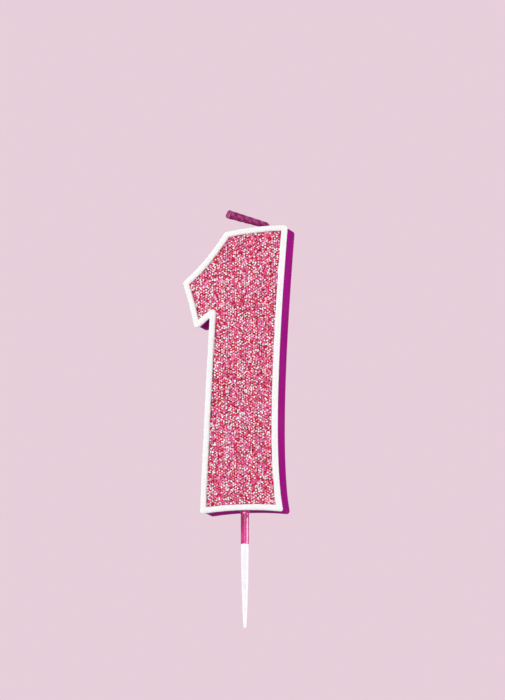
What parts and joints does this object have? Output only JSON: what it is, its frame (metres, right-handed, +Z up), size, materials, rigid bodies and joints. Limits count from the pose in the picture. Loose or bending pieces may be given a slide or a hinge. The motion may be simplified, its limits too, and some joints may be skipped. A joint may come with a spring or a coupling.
{
  "type": "number birthday candle",
  "caption": "Numeral one wax candle with a dipped colour coat, raised white rim, recessed glitter face, bent waxed wick and a tapered plastic pick for pushing into a cake.",
  "frame": {"origin": "on the pick's axis, at the height where its pink dipped neck ends and its bare white shank begins", "axes": "+Z up along the numeral, the decorated face looks towards -Y, +X to the right of that face"},
  "size_m": [0.026, 0.01, 0.1022],
  "materials": {
    "core_wax": "cast paraffin wax, never seen from outside",
    "coat_wax": "smooth glossy dyed wax",
    "rim_wax": "rounded glossy white wax bead",
    "binder": "clear pink adhesive film",
    "glitter": "mixed white, pink, red and maroon glitter flakes",
    "pick_plastic": "smooth moulded white plastic",
    "neck_wax": "thin uneven glossy pink dip coat",
    "cotton": "dyed twisted cotton",
    "wick_wax": "thin uneven wax over a fibrous wick"
  },
  "bodies": {
    "candle": {"wax_core": "core_wax", "colour_coat": "coat_wax", "front_rim": "rim_wax", "glitter_binder": "binder", "glitter_flakes": "glitter", "pick": "pick_plastic", "pick_neck_coat": "neck_wax", "wick_strand_a": "cotton", "wick_strand_b": "cotton", "wick_strand_c": "cotton"},
    "wick": {"wick_end_strand_a": "cotton", "wick_end_strand_b": "cotton", "wick_end_strand_c": "cotton", "wick_end_coat": "wick_wax"}
  },
  "joints": [
    {"name": "wick_bend", "type": "hinge", "parent": "candle", "child": "wick", "pos_m": [0.00565, 0, 0.07751], "axis": [0, 1, 0], "range_deg": [0, 140]}
  ]
}
